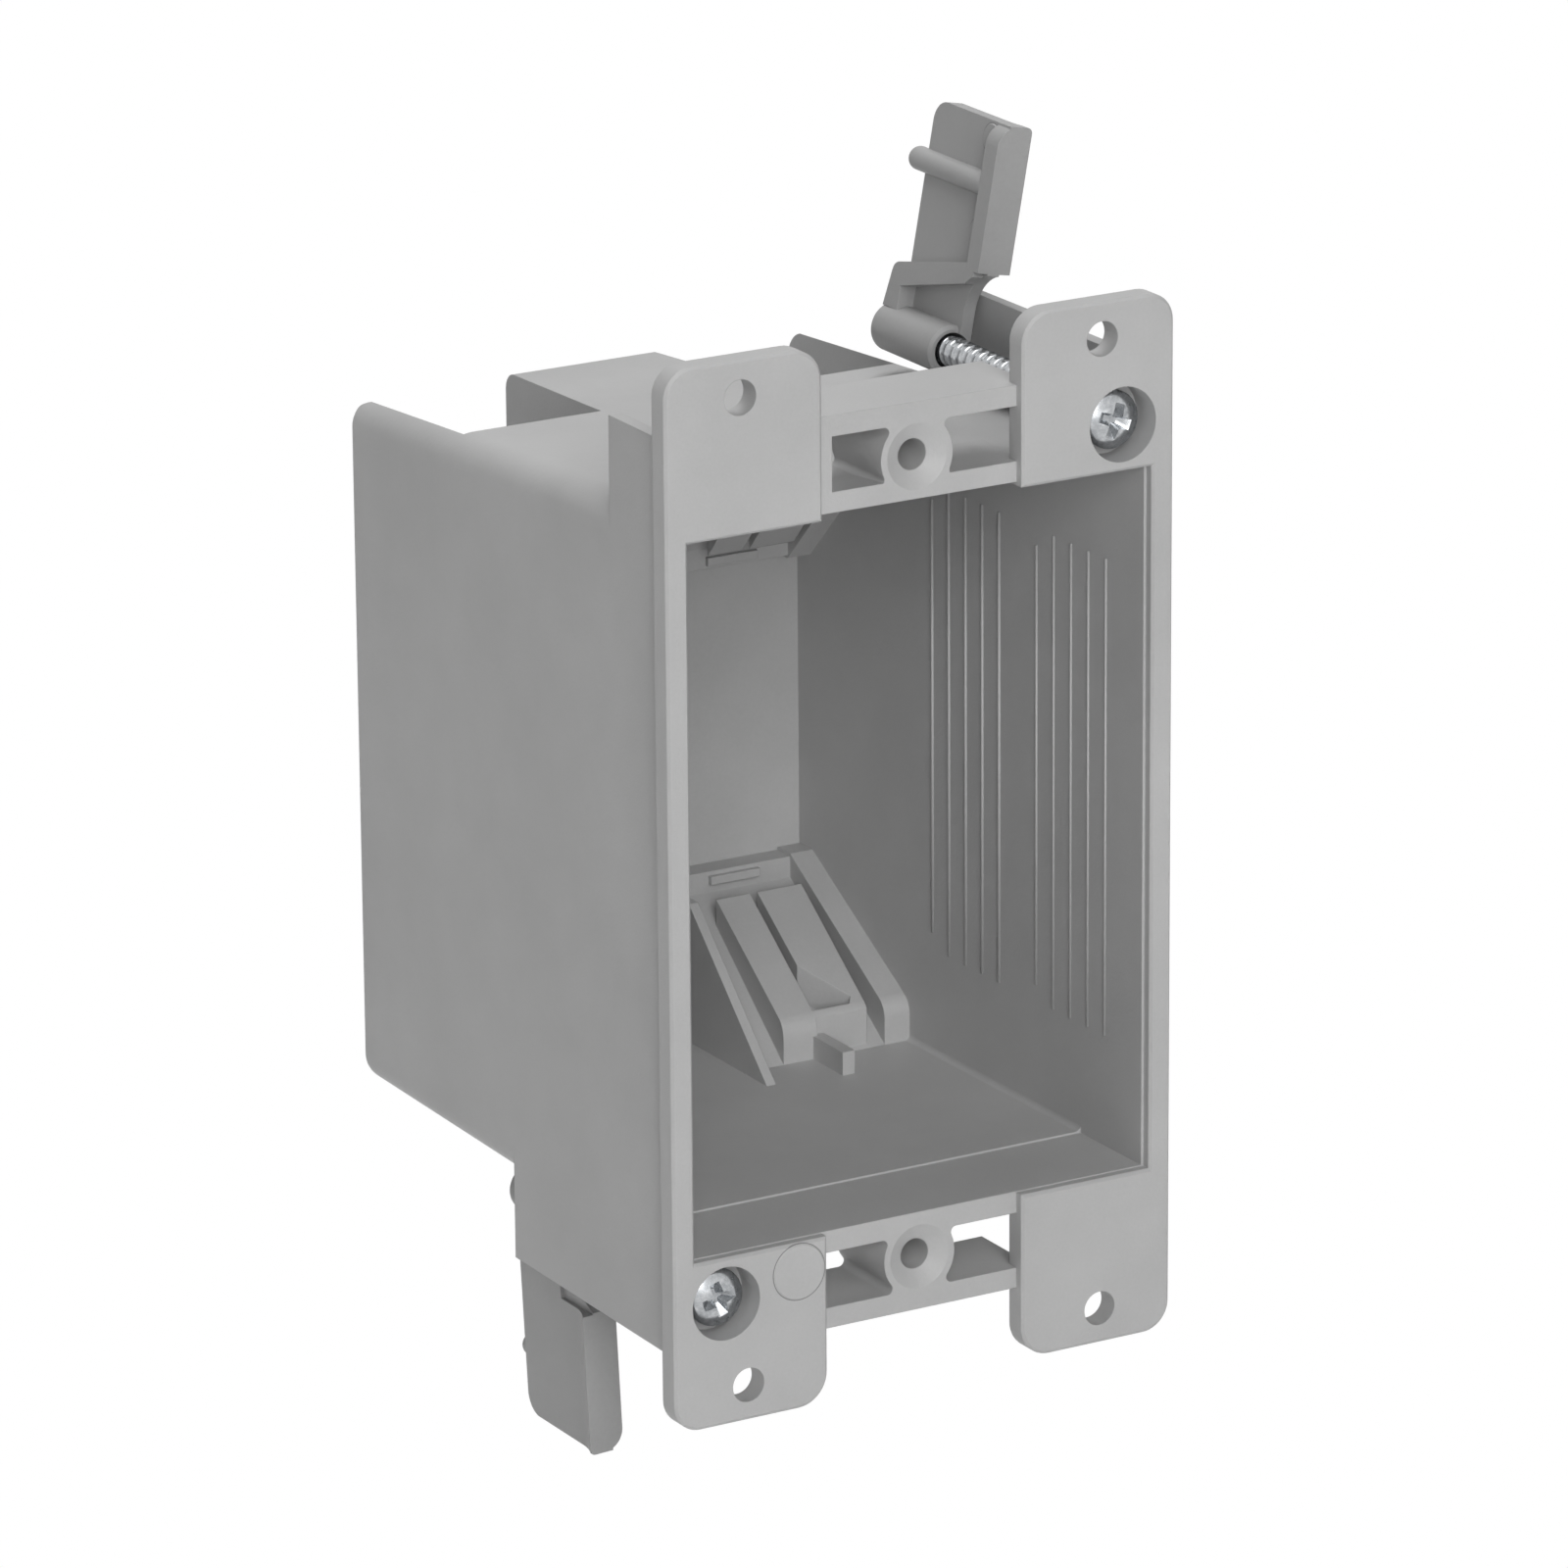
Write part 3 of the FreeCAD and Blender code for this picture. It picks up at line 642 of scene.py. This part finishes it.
def wall_line_tree(material):
    """Geometry Nodes tree: a group of slim upright lines on the right inner wall."""
    tree, given = tree_with_inputs("raised_wall_lines", (
        ("First Depth", 8.05 * mm), ("Spacing", 3.22 * mm), ("Height", 50.5 * mm),
        ("Line Radius", 0.16 * mm), ("Last Share", 0.93), ("Count", 5)))
    calc = calculator(tree)
    step = add_node(tree, "ShaderNodeCombineXYZ", None, {"Y": given["Spacing"]})
    first = add_node(tree, "ShaderNodeCombineXYZ", None, {"Y": given["First Depth"]})
    row = add_node(tree, "GeometryNodeMeshLine", {"mode": "OFFSET"},
                   {"Count": given["Count"], "Start Location": first.outputs[0],
                    "Offset": step.outputs[0]})
    spot = point_places(tree)
    lean = (inner_wall_x(box_depth) - inner_wall_x(0)) / box_depth
    wall = calc("MULTIPLY_ADD", spot["Y"], lean, inner_wall_x(0))
    on_wall = add_node(tree, "ShaderNodeCombineXYZ", None,
                       {"X": wall, "Y": spot["Y"], "Z": line_middle_z})
    placed = add_node(tree, "GeometryNodeSetPosition", None,
                      {"Geometry": row.outputs["Mesh"], "Position": on_wall.outputs[0]})
    rod = add_node(tree, "GeometryNodeMeshCylinder", {"fill_type": "NGON"},
                   {"Vertices": line_corners, "Side Segments": 1,
                    "Radius": given["Line Radius"], "Depth": given["Height"]})
    number = add_node(tree, "GeometryNodeInputIndex").outputs[0]
    is_last = add_node(tree, "FunctionNodeCompare", {"data_type": "FLOAT", "operation": "EQUAL"},
                       {0: number, 1: calc("SUBTRACT", given["Count"], 1.0)})
    share = add_node(tree, "GeometryNodeSwitch", {"input_type": "FLOAT"},
                     {"Switch": is_last.outputs[0], "False": 1.0, "True": given["Last Share"]})
    size = add_node(tree, "ShaderNodeCombineXYZ", None,
                    {"X": 1.0, "Y": 1.0, "Z": share.outputs[0]})
    stood = add_node(tree, "GeometryNodeInstanceOnPoints", None,
                     {"Points": placed.outputs[0], "Instance": rod.outputs["Mesh"],
                      "Scale": size.outputs[0]})
    real = add_node(tree, "GeometryNodeRealizeInstances", None, {"Geometry": stood.outputs[0]})
    smooth = add_node(tree, "GeometryNodeSetShadeSmooth", None,
                      {"Geometry": real.outputs[0], "Shade Smooth": True})
    finished = add_node(tree, "GeometryNodeSetMaterial", None,
                        {"Geometry": smooth.outputs[0], "Material": material})
    add_node(tree, "NodeGroupOutput", None, {"Geometry": finished.outputs[0]})
    return tree


wall_lines = wall_line_tree(box_relief_pvc)
for name, depth, line_radius in line_groups:
    lines = baked(wall_lines, name, {"First Depth": depth, "Line Radius": line_radius})
    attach(lines, "box")
    print(name, len(lines.data.polygons), "faces")

# %% [markdown]
# A picture needs very little round the object. A pale matt floor well below it sends some
# light back up to its undersides.
#
# The background is pure white. That comes from the colour that the camera sees in the
# floor and the world, not from more light on the box: a Light Path node shows white to the
# camera and to reflections, while for all other light the floor is only pale and matt, and
# the world gives none of its own.

# %% Floor and white background
def white_to_camera(tree):
    """1 for camera, glossy and transmission rays, 0 for the rest."""
    calc = calculator(tree)
    path = add_node(tree, "ShaderNodeLightPath").outputs
    first = calc("MAXIMUM", path["Is Camera Ray"], path["Is Glossy Ray"])
    return calc("MAXIMUM", first, path["Is Transmission Ray"])


def studio_floor(height):
    """A wide matt plane that looks pure white to the camera."""
    material, tree = fresh_material("pale_studio_floor")
    matt = add_node(tree, "ShaderNodeBsdfDiffuse", None, {"Color": linear("F4F4F4")})
    shine = add_node(tree, "ShaderNodeEmission", None, {"Color": linear("FFFFFF"), "Strength": 1.0})
    mixed = add_node(tree, "ShaderNodeMixShader", None,
                     {0: white_to_camera(tree), 1: matt.outputs[0], 2: shine.outputs[0]})
    add_node(tree, "ShaderNodeOutputMaterial", None, {"Surface": mixed.outputs[0]})
    bpy.ops.mesh.primitive_plane_add(size=6.0, location=(0, 0, height))
    floor = bpy.context.object
    floor.name = "studio_floor"
    floor.data.materials.append(material)
    floor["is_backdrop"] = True
    return floor


def studio_world(level):
    """A world that looks white to the camera and gives this level of light to the rest."""
    world = bpy.data.worlds.new("studio_world")
    bpy.context.scene.world = world
    world.use_nodes = True
    tree = world.node_tree
    tree.nodes.clear()
    strength = add_node(tree, "ShaderNodeMapRange", None,
                        {"Value": white_to_camera(tree), "To Min": level, "To Max": 1.0})
    sky = add_node(tree, "ShaderNodeBackground", None,
                   {"Color": linear("FFFFFF"), "Strength": strength.outputs["Result"]})
    add_node(tree, "ShaderNodeOutputWorld", None, {"Surface": sky.outputs[0]})


lowest_point = solid_box[0][2]
floor = studio_floor(lowest_point - 22 * mm)
studio_world(0.0)
print("floor at", round(floor.location.z / mm, 1), "mm")

# %% [markdown]
# Four square soft lamps light the box, all aimed at the same point inside it. In the
# photograph the tops are the palest faces, the flange comes next, and the insides and the
# left side are darker. So one lamp stands just above the camera and lights the front, a
# second one higher up helps it reach the floor of the box, the strongest hangs high over
# the back for the tops, and a weak one low in front opens the shadows.

# %% Lamps
aim = Vector((0, 30, 0)) * mm
lamps = (("camera_lamp", (-0.42, -1.06, 0.42), 0.6, 7.9),
         ("high_lamp", (-0.15, -0.9, 0.9), 0.6, 3.6),
         ("top_lamp", (0.0, 0.35, 1.15), 0.9, 9.0),
         ("low_lamp", (0.0, -1.1, -0.15), 0.6, 1.0))


def soft_lamp(name, place, size, power):
    """A square area lamp, in metres and watts, turned towards the aim."""
    data = bpy.data.lights.new(name, "AREA")
    data.shape = "SQUARE"
    data.size = size
    data.energy = power
    lamp = new_object(name, data)
    lamp.location = place
    lamp.rotation_euler = (aim - Vector(place)).to_track_quat("-Z", "Y").to_euler()


for lamp_values in lamps:
    soft_lamp(*lamp_values)

# %% [markdown]
# The camera repeats the photograph's point of view. It was worked out from the known
# spacing of the device screws and the corners of the flange: the lens is long, the camera
# stands a little under a metre away, looks 30 degrees round from the left and 18 down. The
# Standard view shows the greys as they are, without a film curve.

# %% Camera
sensor_width = 36.0
focal_pixels, picture_pixels = 9940, 1600
yaw, pitch, roll = math.radians(30.26), math.radians(17.68), math.radians(-0.42)
origin_right, origin_up, origin_ahead = 13.9 * mm, -8.0 * mm, 963.6 * mm


def photo_camera():
    """The camera, placed from where the object's origin lies in its own directions."""
    data = bpy.data.cameras.new("photo_camera")
    data.sensor_width = sensor_width
    data.lens = sensor_width * focal_pixels / picture_pixels
    data.clip_start = 0.05
    data.clip_end = 20.0
    camera = new_object("photo_camera", data)
    ahead = Vector((math.sin(yaw) * math.cos(pitch), math.cos(yaw) * math.cos(pitch),
                    -math.sin(pitch)))
    side = ahead.cross(Vector((0, 0, 1))).normalized()
    above = side.cross(ahead)
    right = side * math.cos(roll) + above * math.sin(roll)
    up = above * math.cos(roll) - side * math.sin(roll)
    place = -(right * origin_right + up * origin_up + ahead * origin_ahead)
    turn = Matrix((right, up, -ahead)).transposed().to_4x4()
    camera.matrix_world = Matrix.Translation(place) @ turn
    bpy.context.scene.camera = camera
    return camera


camera = photo_camera()
print("camera at", [round(v / mm, 1) for v in camera.location])
bpy.context.scene.view_settings.view_transform = "Standard"

# %% [markdown]
# Last, the finished object is measured against the solids, and how much the visual box
# differs from the solid box is printed.

# %% Measure and finish
final_box = [list(corner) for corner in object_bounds()]
growth = [round((b - a) / mm, 2) for a, b in zip(sum(solid_box, []), sum(final_box, []))]
print("visual minus solid box, mm:", growth)
